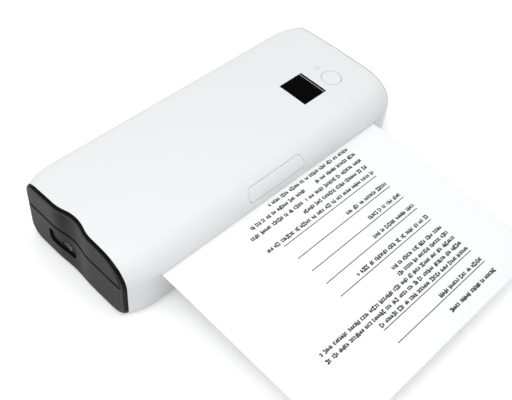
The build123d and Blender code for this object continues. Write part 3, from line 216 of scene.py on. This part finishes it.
def make_band():
    """Mask that is 1 between two values, with soft sides."""
    tree, inner, outer = effect(
        "band", {"Value": FLOAT, "From": FLOAT, "To": FLOAT, "Soft": FLOAT}, {"Mask": FLOAT})
    rise = maths(tree, "SUBTRACT", inner["Value"], inner["From"])
    fall = maths(tree, "SUBTRACT", inner["To"], inner["Value"])
    both = maths(tree, "MINIMUM", maths(tree, "DIVIDE", rise, inner["Soft"]),
                 maths(tree, "DIVIDE", fall, inner["Soft"]))
    give(tree, outer["Mask"], wire(tree, "ShaderNodeClamp", Value=both).outputs[0])
    return tree


def make_off_middle():
    """Distance from a middle, along the axes that are 1."""
    tree, inner, outer = effect(
        "off_middle", {"Place": VECTOR, "Middle": VECTOR, "Axes": VECTOR}, {"Distance": FLOAT})
    off = wire(tree, "ShaderNodeVectorMath", inner["Place"], inner["Middle"],
               operation="SUBTRACT")
    flat = wire(tree, "ShaderNodeVectorMath", off.outputs[0], inner["Axes"],
                operation="MULTIPLY")
    length = wire(tree, "ShaderNodeVectorMath", flat.outputs[0], operation="LENGTH")
    give(tree, outer["Distance"], length.outputs["Value"])
    return tree


GRAIN = make_moulded_grain()
LINES = make_drawn_lines()
FIBRES = make_fibres()
SMEARS = make_smears()
BAND = make_band()
OFF_MIDDLE = make_off_middle()
IN_PLAN = (1.0, 1.0, 0.0)
ACROSS_ROLL = (0.0, 1.0, 1.0)
SHARP = 0.00002                     # soft side of a crisp band


def use(tree, group, **values):
    """Place a group in a material and set its inputs."""
    node = tree.nodes.new("ShaderNodeGroup")
    node.node_tree = group
    for key, value in values.items():
        give(tree, node.inputs[key], value)
    return node.outputs


def band(tree, value, low, high, soft=SHARP):
    return use(tree, BAND, Value=value, From=low, To=high, Soft=soft)["Mask"]


def off_middle(tree, place, node, axes):
    """Distance from the middle of a CAD node."""
    middle = [(low + high) / 2 for low, high in zip(*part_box(node))]
    return use(tree, OFF_MIDDLE, Place=place, Middle=middle, Axes=axes)["Distance"]


# ---- materials -------------------------------------------------------------------------------
SHELL_WHITE = (0.79, 0.793, 0.798, 1)
# painted highlight: paler colour of the thin band along the shells' joint
SHELL_HIGHLIGHT = (0.93, 0.93, 0.93, 1)
KEY_WHITE = (0.80, 0.803, 0.808, 1)
# painted shade: darker colour towards the power button's edge
KEY_EDGE_SHADE = (0.60, 0.61, 0.62, 1)
RIM_BLACK = (0.002, 0.002, 0.0022, 1)
PANEL_BLACK = (0.006, 0.006, 0.0062, 1)
# painted highlight: paler colour on black panel edges that face the front or up
PANEL_HIGHLIGHT = (0.11, 0.11, 0.112, 1)
MILK = ((0.84, 0.85, 0.85, 1), (0.88, 0.89, 0.89, 1))
# painted shade: darker colour towards the light pipe's edge
MILK_EDGE_SHADE = (0.62, 0.63, 0.63, 1)
WINDOW_BLACK = (0.0006, 0.0006, 0.0007, 1)
WINDOW_LINE = (0.42, 0.43, 0.44, 1)
BEZEL_GREY = (0.20, 0.21, 0.22, 1)
BEZEL_GLASS = (0.004, 0.005, 0.006, 1)
PAPER_WHITE = (0.895, 0.897, 0.90, 1)
PAPER_LAYERS = (0.42, 0.41, 0.40, 1)
INK = ((0.010, 0.010, 0.011, 1), (0.045, 0.045, 0.047, 1))
BOARD_BROWN = (0.42, 0.29, 0.17, 1)
TRAY_BLACK = (0.030, 0.030, 0.032, 1)
HUB_GREY = (0.18, 0.19, 0.20, 1)
NYLON_CREAM = (0.72, 0.70, 0.62, 1)
BUSH_TAN = (0.45, 0.40, 0.30, 1)
RESIN_BLACK = (0.010, 0.010, 0.012, 1)
PLATEN_BLACK = (0.022, 0.022, 0.023, 1)
FOOT_GREY = (0.10, 0.10, 0.105, 1)
STEEL = (0.56, 0.57, 0.58, 1)
SPRING_STEEL = (0.62, 0.60, 0.56, 1)
GROUND_STEEL = (0.66, 0.66, 0.67, 1)
ZINC = (0.50, 0.51, 0.53, 1)
ALUMINIUM = (0.72, 0.72, 0.73, 1)
GLAZE_WHITE = (0.62, 0.60, 0.54, 1)
LEAD_GOLD = (0.50, 0.34, 0.12, 1)
HEATER_BROWN = (0.055, 0.030, 0.018, 1)
MASK_GREEN = ((0.010, 0.085, 0.030, 1), (0.014, 0.105, 0.040, 1))
TRACK_GREEN = (0.035, 0.20, 0.075, 1)
CHIP_BLACK = (0.012, 0.012, 0.013, 1)
CELL_STEEL = (0.60, 0.60, 0.61, 1)
CELL_BLUE = (0.012, 0.10, 0.33, 1)


def start_material(name):
    """Material with a Principled shader and Object coordinates."""
    material = bpy.data.materials.new(name)
    material.use_nodes = True
    tree = material.node_tree
    place = wire(tree, "ShaderNodeTexCoord").outputs["Object"]
    return material, tree, tree.nodes["Principled BSDF"], place


def raise_surface(tree, shader, height, strength, depth):
    bump = wire(tree, "ShaderNodeBump", Height=height, Strength=strength, Distance=depth)
    give(tree, shader.inputs["Normal"], bump.outputs[0])


def trimmed(tree, place, colour, trim):
    """The colour, with the second one that a trim lays over a share of it."""
    if trim is None:
        return colour
    share, second = trim(tree, place)
    return blend_colours(tree, share, colour, second)


def moulded(name, colour, roughness, scale=2600.0, cloud=0.02, strength=0.12, depth=0.00005,
            shine=0.5, trim=None):
    """Moulded plastic."""
    material, tree, shader, place = start_material(name)
    grain = use(tree, GRAIN, Place=place, Scale=scale, Colour=colour, Roughness=roughness,
                Cloud=cloud)
    give(tree, shader.inputs["Base Color"], trimmed(tree, place, grain["Colour"], trim))
    give(tree, shader.inputs["Roughness"], grain["Roughness"])
    shader.inputs["Specular IOR Level"].default_value = shine
    raise_surface(tree, shader, grain["Height"], strength, depth)
    return material


def rubber(name, colour, roughness):
    """Matte rubber."""
    return moulded(name, colour, roughness, scale=1500.0, cloud=0.25, strength=0.3,
                   depth=0.00006)


def metal(name, colour, roughness, scale=900.0, contrast=0.12):
    """Rolled or drawn metal."""
    material, tree, shader, place = start_material(name)
    lines = use(tree, LINES, Place=place, Scale=scale, Colour=colour, Roughness=roughness,
                Contrast=contrast)
    give(tree, shader.inputs["Base Color"], lines["Colour"])
    give(tree, shader.inputs["Roughness"], lines["Roughness"])
    shader.inputs["Metallic"].default_value = 1.0
    raise_surface(tree, shader, lines["Height"], strength=0.08, depth=0.00005)
    return material


def fibrous(name, colour, roughness, scale, contrast, strength, depth, trim=None):
    """Paper or board."""
    material, tree, shader, place = start_material(name)
    fibres = use(tree, FIBRES, Place=place, Scale=scale, Colour=colour, Contrast=contrast)
    give(tree, shader.inputs["Base Color"], trimmed(tree, place, fibres["Colour"], trim))
    shader.inputs["Roughness"].default_value = roughness
    raise_surface(tree, shader, fibres["Height"], strength, depth)
    return material


def roll_layers(tree, place):
    """Trim of the paper: its wound layers, as rings on the ends of the roll."""
    pitch, ring_depth, ring_share, skin = 0.0009, 0.05, 0.12, 0.00005
    radius = off_middle(tree, place, "paper_roll", ACROSS_ROLL)
    rings = maths(tree, "SINE", maths(tree, "MULTIPLY", radius, 2 * pi / pitch))
    share = maths(tree, "MULTIPLY_ADD", rings, ring_depth, ring_share)
    out = maths(tree, "ABSOLUTE", coordinate(tree, place, X))
    at_end = maths(tree, "GREATER_THAN", out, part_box("paper_roll")[HIGH][X] - skin)
    return maths(tree, "MULTIPLY", share, at_end), PAPER_LAYERS


def joint_highlight(tree, place):
    """Trim of the shells: a painted highlight, a thin pale band where they meet."""
    below, above, soft = 0.0009, 0.0002, 0.0002
    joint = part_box("left_base_rim")[HIGH][Z]
    rim = band(tree, coordinate(tree, place, Z), joint - below, joint + above, soft)
    return rim, SHELL_HIGHLIGHT


def edge_highlight(direction, reach):
    """Trim of a black panel: a painted highlight, paler where an edge near the front turns to a
    direction.
    """
    turn_run = (0.35, 0.8)

    def trim(tree, place):
        normal = wire(tree, "ShaderNodeTexCoord").outputs["Normal"]
        turn = wire(tree, "ShaderNodeVectorMath", normal, direction, operation="DOT_PRODUCT")
        highlight = spread(tree, turn.outputs["Value"], *turn_run, 0.0, 1.0)
        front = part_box("base_case")[LOW][Y]
        near = maths(tree, "LESS_THAN", coordinate(tree, place, Y), front + reach)
        return maths(tree, "MULTIPLY", highlight, near), PANEL_HIGHLIGHT

    return trim


def round_edge_shade(node, start, end, share, colour):
    """Trim of a round piece: painted shade, another colour towards its edge, between two radii.
    """
    def trim(tree, place):
        radius = off_middle(tree, place, node, IN_PLAN)
        return spread(tree, radius, start, end, 0.0, share), colour

    return trim


def indicator_plastic(name):
    """Milky plastic, with painted shade towards its edge."""
    material, tree, shader, place = start_material(name)
    smears = use(tree, SMEARS, Place=place, Scale=400.0, Detail=2.0, Smooth=0.2, Rough=0.3)
    milk = blend_colours(tree, smears["Cloud"], *MILK)
    # painted shade: a darker ring towards the light pipe's edge
    edge = round_edge_shade("light_pipe", start=0.0009, end=0.0015, share=1.0, colour=MILK_EDGE_SHADE)
    give(tree, shader.inputs["Base Color"], trimmed(tree, place, milk, edge))
    give(tree, shader.inputs["Roughness"], smears["Roughness"])
    return material


def display_glass(name):
    """Black window with a thin pale line just inside its right edge."""
    material, tree, shader, place = start_material(name)
    line_start, line_end, soft = 0.0023, 0.0017, 0.00006
    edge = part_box("display_window")[HIGH][X]
    line = band(tree, coordinate(tree, place, X), edge - line_start, edge - line_end, soft)
    smears = use(tree, SMEARS, Place=place, Scale=90.0, Detail=3.0, Smooth=0.07, Rough=0.12)
    give(tree, shader.inputs["Base Color"], blend_colours(tree, line, WINDOW_BLACK, WINDOW_LINE))
    give(tree, shader.inputs["Roughness"], smears["Roughness"])
    shader.inputs["Specular IOR Level"].default_value = 0.015
    return material


def display_panel(name):
    """Dark glass panel in a pale bezel."""
    material, tree, shader, place = start_material(name)
    bezel = 0.0012
    low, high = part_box("display_module")
    inside = [band(tree, coordinate(tree, place, axis), low[axis] + bezel, high[axis] - bezel)
              for axis in (X, Y)]
    glass = maths(tree, "MULTIPLY", *inside)
    smears = use(tree, SMEARS, Place=place, Scale=120.0, Detail=2.0, Smooth=0.14, Rough=0.22)
    give(tree, shader.inputs["Base Color"], blend_colours(tree, glass, BEZEL_GREY, BEZEL_GLASS))
    give(tree, shader.inputs["Roughness"], smears["Roughness"])
    return material


def circuit_board(name, node):
    """Green board with copper tracks under the mask, black parts above it."""
    material, tree, shader, place = start_material(name)
    thickness, clear, board_rough, part_rough = 0.0012, 0.00005, 0.28, 0.5
    tracks = wire(tree, "ShaderNodeTexBrick", Vector=place, Scale=260.0, Mortar_Size=0.03,
                  Brick_Width=0.9, Row_Height=0.22, Color1=MASK_GREEN[0], Color2=MASK_GREEN[1],
                  Mortar=TRACK_GREEN)
    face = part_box(node)[LOW][Z] + thickness
    above = maths(tree, "GREATER_THAN", coordinate(tree, place, Z), face + clear)
    colour = blend_colours(tree, above, tracks.outputs["Color"], CHIP_BLACK)
    rough = spread(tree, above, 0.0, 1.0, board_rough, part_rough)
    give(tree, shader.inputs["Base Color"], colour)
    give(tree, shader.inputs["Roughness"], rough)
    raise_surface(tree, shader, tracks.outputs["Fac"], strength=0.2, depth=0.00005)
    return material


def cell_wrap(name):
    """Blue shrink wrap with bare steel ends, on two cells in a row."""
    material, tree, shader, place = start_material(name)
    space, pip, bare = 0.0020, 0.0009, 0.0006
    low, high = (corner[X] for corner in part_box("battery_cells"))
    length = (high - low - space - pip) / 2
    along = coordinate(tree, place, X)
    wraps = [band(tree, along, start + bare, start + length - bare)
             for start in (low, low + length + space)]
    wrapped = maths(tree, "MAXIMUM", *wraps)
    smears = use(tree, SMEARS, Place=place, Scale=220.0, Detail=3.0, Smooth=0.28, Rough=0.4)
    give(tree, shader.inputs["Base Color"], blend_colours(tree, wrapped, CELL_STEEL, CELL_BLUE))
    give(tree, shader.inputs["Metallic"], maths(tree, "SUBTRACT", 1.0, wrapped))
    give(tree, shader.inputs["Roughness"], smears["Roughness"])
    raise_surface(tree, shader, smears["Cloud"], strength=0.1, depth=0.0002)
    return material


def head_glaze(name):
    """White ceramic with the brown heater line and its fine leads."""
    material, tree, shader, place = start_material(name)
    heater_half, heater_soft = 0.0006, 0.00008
    lead_pitch, lead_gap, lead_start, lead_end, lead_soft = 0.0006, 0.2, 0.0009, 0.0040, 0.0001
    heater = sum(corner[Y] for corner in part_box("platen_rubber")) / 2
    across = coordinate(tree, place, Y)
    turns = maths(tree, "MULTIPLY", coordinate(tree, place, X), 2 * pi / lead_pitch)
    leads = maths(tree, "GREATER_THAN", maths(tree, "SINE", turns), lead_gap)
    field = band(tree, across, heater + lead_start, heater + lead_end, lead_soft)
    field = maths(tree, "MULTIPLY", field, leads)
    line = band(tree, across, heater - heater_half, heater + heater_half, heater_soft)
    colour = blend_colours(tree, field, GLAZE_WHITE, LEAD_GOLD)
    smears = use(tree, SMEARS, Place=place, Scale=900.0, Detail=2.0, Smooth=0.16, Rough=0.28)
    give(tree, shader.inputs["Base Color"], blend_colours(tree, line, colour, HEATER_BROWN))
    give(tree, shader.inputs["Roughness"], smears["Roughness"])
    return material


def print_ink(name):
    """Black of the heated paper coating, a little uneven."""
    material, tree, shader, place = start_material(name)
    faint_run = (0.35, 0.7)
    dots = noise(tree, place, scale=2500.0, detail=2.0)
    faint = spread(tree, dots, *faint_run, 0.0, 1.0)
    give(tree, shader.inputs["Base Color"], blend_colours(tree, faint, *INK))
    shader.inputs["Roughness"].default_value = 0.6
    return material


def dress_frame():
    """A finish for every CAD node."""
    # painted shade towards the power button's edge
    key_edge_shade = round_edge_shade("power_button", start=0.0064, end=0.0075, share=0.35, colour=KEY_EDGE_SHADE)
    # painted highlights on the black panels' edges that face the front and up
    front_highlight = edge_highlight((0.0, -1.0, 0.0), reach=0.03)
    upper_highlight = edge_highlight((0.0, 0.0, 1.0), reach=0.2)
    white = {"cloud": 0.012, "shine": 0.25}
    black = {"scale": 2200.0, "cloud": 0.08, "shine": 0.08}
    finishes = (
        # the white shells carry a painted highlight along their joint
        (moulded("white_plastic", SHELL_WHITE, 0.36, strength=0.08, trim=joint_highlight, **white),
         "base_case", "top_cover"),
        (moulded("release_plastic", KEY_WHITE, 0.33, strength=0.05, **white), "release_button"),
        (moulded("key_plastic", KEY_WHITE, 0.33, strength=0.05, trim=key_edge_shade, **white),
         "power_button"),
        (moulded("gloss_black", RIM_BLACK, 0.16, cloud=0.1, strength=0.02, shine=0.07),
         "left_base_rim", "right_base_rim", "left_cover_rim", "right_cover_rim"),
        (moulded("panel_plastic", PANEL_BLACK, 0.34, trim=front_highlight, **black),
         "left_base_panel", "right_base_panel"),
        (moulded("lip_plastic", PANEL_BLACK, 0.34, trim=upper_highlight, **black),
         "left_cover_lip", "right_cover_lip"),
        (display_glass("display_black"), "display_window"),
        (indicator_plastic("indicator_plastic"), "light_pipe"),
        (fibrous("thermal_paper", PAPER_WHITE, 0.62, scale=600.0, contrast=0.02, strength=0.15,
                 depth=0.00003, trim=roll_layers), "paper_roll", "paper_web"),
        (fibrous("wound_board", BOARD_BROWN, 0.85, scale=500.0, contrast=0.5, strength=0.4,
                 depth=0.0001), "roll_core"),
        (moulded("tray_plastic", TRAY_BLACK, 0.5, scale=2000.0, cloud=0.12, strength=0.2),
         "inner_tray", "hub_guide", "battery_tray", "board_cover"),
        (moulded("hub_plastic", HUB_GREY, 0.4, cloud=0.06), "left_roll_hub", "right_roll_hub"),
        (moulded("gear_nylon", NYLON_CREAM, 0.38, cloud=0.04),
         "compound_gear", "motor_pinion", "platen_gear"),
        (moulded("bush_plastic", BUSH_TAN, 0.4, cloud=0.06), "platen_bushes"),
        (moulded("black_resin", RESIN_BLACK, 0.22, cloud=0.2), "head_drivers", "paper_sensor"),
        (rubber("platen_rubber_black", PLATEN_BLACK, 0.6), "platen_rubber"),
        (rubber("foot_rubber", FOOT_GREY, 0.75), "foot_pads"),
        (metal("rolled_steel", STEEL, 0.30), "mech_frame", "stepper_motor", "usb_socket"),
        (metal("spring_steel", SPRING_STEEL, 0.24), "head_springs", "tear_bar", "latch_bar"),
        (metal("ground_steel", GROUND_STEEL, 0.18, scale=1500.0, contrast=0.05),
         "platen_shaft", "head_rod", "hinge_pins", "gear_pin", "catch_pins"),
        (metal("zinc_screws", ZINC, 0.28, scale=1200.0), "base_screws", "cover_screws"),
        (metal("extruded_aluminium", ALUMINIUM, 0.34, scale=500.0), "head_sink"),
        (display_panel("panel_glass"), "display_module"),
        (head_glaze("glazed_ceramic"), "head_ceramic"),
        (circuit_board("main_circuit", "main_board"), "main_board"),
        (circuit_board("cover_circuit", "cover_board"), "cover_board"),
        (cell_wrap("cell_wrap"), "battery_cells"),
    )
    for material, *nodes in finishes:
        for node in nodes:
            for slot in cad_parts[node].material_slots:
                slot.material = material


def make_piece(name, form, material):
    """Object from a bmesh, which is freed."""
    mesh = bpy.data.meshes.new(name)
    form.to_mesh(mesh)
    form.free()
    mesh.materials.append(material)
    piece = bpy.data.objects.new(name, mesh)
    bpy.context.collection.objects.link(piece)
    return piece


# ---- printed sheet ---------------------------------------------------------------------------
BEND_START = -0.0585                # y where the sheet leaves the slot and starts to bend down
BEND_LENGTH = 0.018
SHEET_SLOPE = radians(3.6)          # of the straight part beyond the bend
INK_LIFT = 0.00003

# Marks of a printed row. Heights of marks are shares of the row's, and a bar's or stem's width
# and place are shares of its mark's width.
ROW_HEIGHT = 0.0033
WORD_MARKS = (2, 7)
WORD_GAP = (0.0013, 0.0019)
MARK_WIDTH = (0.0013, 0.0021)
MARK_HEIGHTS = (0.70, 0.70, 0.76, 1.0)
BAR_HEIGHT = 0.3
BAR_WIDTH = 0.9
STEM_WIDTH = 0.46
STEM_PLACES = (0.3, 0.7)

# Blocks of rows: the first row's distance in front of the middle, the pitch, and each row's
# right and left end, all in millimetres.
PER_METRE = 1000
MARGIN = 66
PRINTED_ROWS = (
    (60.9, 6.7, ((69, -14), (70, 27), (69, 10), (67, -2), (67, -42))),
    (67.5, 6.7, ((16, -38), (7, -45))),
    (100.7, 12.6, ((MARGIN, 22), (MARGIN, 32), (MARGIN, 21), (MARGIN, -10))),
    (150.5, 5.695, ((MARGIN, 12), (MARGIN, 11), (MARGIN, -73), (MARGIN, -73), (MARGIN, -28))),
    (184.9, 11.5, ((MARGIN, 18), (MARGIN, 16))),
)
RULED_LINES = (
    (91.8, 12.6, ((MARGIN, -30),) * 5),
    (176.6, 11.5, ((MARGIN, -28),) * 2),
)
RULE_DEPTH = 0.0006


def sheet_height(y):
    """Upper face of the sheet in front of the slot."""
    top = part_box("paper_web")[HIGH][Z]
    radius = BEND_LENGTH / SHEET_SLOPE
    bend = radius * sin(SHEET_SLOPE)
    out = BEND_START - y
    if out <= 0:
        return top
    if out <= bend:
        return top - radius + sqrt(radius ** 2 - out ** 2)
    return top - radius * (1 - cos(SHEET_SLOPE)) - (out - bend) * tan(SHEET_SLOPE)


def stamp(marks, x, y, width, depth):
    """One flat mark."""
    place = Matrix.Translation((x, y, 0.0)) @ Matrix.Diagonal((width, depth, 1.0, 1.0))
    bmesh.ops.create_grid(marks, x_segments=1, y_segments=1, size=0.5, matrix=place)


def word_row(marks, chance, y, right, left):
    """Row of word-like blocks, from the right end to the left."""
    edge = (1 - BAR_HEIGHT) / 2
    x = right
    while x > left:
        for _ in range(chance.randint(*WORD_MARKS)):
            width = chance.uniform(*MARK_WIDTH)
            height = ROW_HEIGHT * chance.choice(MARK_HEIGHTS)
            if x - width < left:
                return
            stem = width * chance.choice(STEM_PLACES)
            upper = chance.choice((edge, 0.0))
            for bar in (-edge, upper):
                stamp(marks, x - width / 2, y + height * bar, width * BAR_WIDTH,
                      height * BAR_HEIGHT)
            stamp(marks, x - stem, y, width * STEM_WIDTH, height)
            x -= width
        x -= chance.uniform(*WORD_GAP)


def rows_of(blocks):
    """Every row's place, right end and left end, in metres."""
    for first, pitch, ends in blocks:
        for count, (right, left) in enumerate(ends):
            yield -(first + pitch * count) / PER_METRE, right / PER_METRE, left / PER_METRE


def print_sheet():
    """Rows of blocks and ruled lines, laid on the sheet."""
    chance = random.Random(5)
    marks = bmesh.new()
    for y, right, left in rows_of(PRINTED_ROWS):
        word_row(marks, chance, y, right, left)
    for y, right, left in rows_of(RULED_LINES):
        stamp(marks, (right + left) / 2, y, right - left, RULE_DEPTH)
    for point in marks.verts:
        point.co.z = sheet_height(point.co.y) + INK_LIFT
    piece = make_piece("sheet_print", marks, print_ink("thermal_black"))
    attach(piece, "base")


# ---- stage and light -------------------------------------------------------------------------
WHITE = (1.0, 1.0, 1.0, 1)
FLOOR_HALF = 3.0
FLOOR_GREY = (0.85, 0.85, 0.85, 1)  # for the light that the floor throws back
FLOOR_LIFT = 0.15
STUDIO_WHITE = (0.985, 0.99, 1.0, 1)
HORIZON = 0.05                      # strength of the studio's light from the side
ZENITH = 1.46                       # and from straight above


def start_tree(owner):
    """Empty node tree of a material or world."""
    owner.use_nodes = True
    owner.node_tree.nodes.clear()
    return owner.node_tree


def show_background(tree, lit, seen, output):
    """One shader for the light, the other for what the camera, gloss and glass show."""
    path = wire(tree, "ShaderNodeLightPath").outputs
    gloss = maths(tree, "MAXIMUM", path["Is Glossy Ray"], path["Is Transmission Ray"])
    shown = maths(tree, "MAXIMUM", path["Is Camera Ray"], gloss)
    pick = wire(tree, "ShaderNodeMixShader", shown, lit.outputs[0], seen.outputs[0])
    wire(tree, output, Surface=pick.outputs[0])


def lay_floor():
    """Pale floor that goes white away from the shadow."""
    area = bmesh.new()
    bmesh.ops.create_grid(area, x_segments=1, y_segments=1, size=FLOOR_HALF)
    material = bpy.data.materials.new("floor")
    tree = start_tree(material)
    plain = wire(tree, "ShaderNodeBsdfDiffuse", Color=FLOOR_GREY)
    pale = wire(tree, "ShaderNodeBsdfDiffuse", Color=WHITE)
    lift = wire(tree, "ShaderNodeEmission", Color=WHITE, Strength=FLOOR_LIFT)
    lifted = wire(tree, "ShaderNodeAddShader", pale.outputs[0], lift.outputs[0])
    show_background(tree, plain, lifted, "ShaderNodeOutputMaterial")
    floor = make_piece("floor", area, material)


def lamp(name, place, aim, side, power):
    """Square lamp that shines from a place towards its aim."""
    light = bpy.data.lights.new(name, "AREA")
    light.size = side
    light.energy = power
    source = bpy.data.objects.new(name, light)
    source.location = place
    source.rotation_euler = (Vector(place) - Vector(aim)).to_track_quat("Z", "Y").to_euler()
    bpy.context.collection.objects.link(source)


def light_stage():
    """Pale world, stronger above, and a small lamp near the left front corner."""
    lamp("front_left", (-0.27, -0.19, 0.42), aim=(0.0, -0.01, 0.03), side=0.2, power=0.45)
    world = bpy.data.worlds.new("studio")
    bpy.context.scene.world = world
    tree = start_tree(world)
    rise = coordinate(tree, wire(tree, "ShaderNodeTexCoord").outputs["Generated"], Z)
    strength = spread(tree, rise, 0.0, 1.0, HORIZON, ZENITH)
    soft = wire(tree, "ShaderNodeBackground", Color=STUDIO_WHITE, Strength=strength)
    bright = wire(tree, "ShaderNodeBackground", Color=WHITE, Strength=1.0)
    show_background(tree, soft, bright, "ShaderNodeOutputWorld")
    bpy.context.scene.view_settings.view_transform = "Standard"


place_camera()
dress_frame()
print_sheet()
lay_floor()
light_stage()
